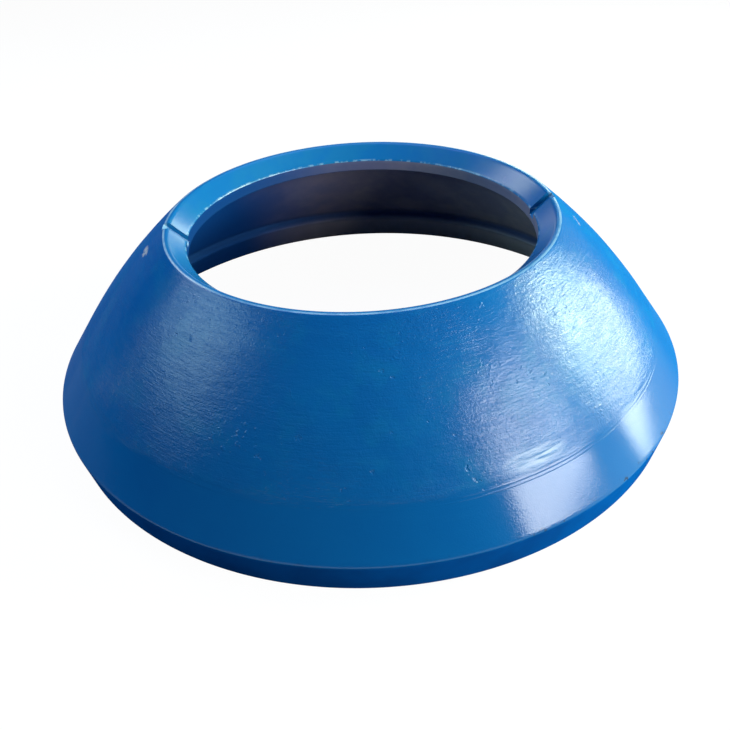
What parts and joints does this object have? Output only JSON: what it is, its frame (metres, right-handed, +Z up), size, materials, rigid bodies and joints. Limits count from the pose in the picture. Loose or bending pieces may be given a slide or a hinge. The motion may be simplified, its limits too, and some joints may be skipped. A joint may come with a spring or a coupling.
{
  "type": "cone crusher mantle",
  "caption": "Conical steel liner for a crushing head, with a crowned outer face, a nut seat with opposite key slots, a pilot bore and a machined head seat.",
  "frame": {"origin": "centre of the flat base ring, on the liner's axis", "axes": "+Z up along the liner's axis, from the base to the lip; the key slots lie on +X and -X"},
  "size_m": [1.1994, 1.1996, 0.329],
  "materials": {
    "mantle_paint": "gloss"
  },
  "bodies": {
    "root": {"mantle": "mantle_paint"}
  },
  "joints": []
}
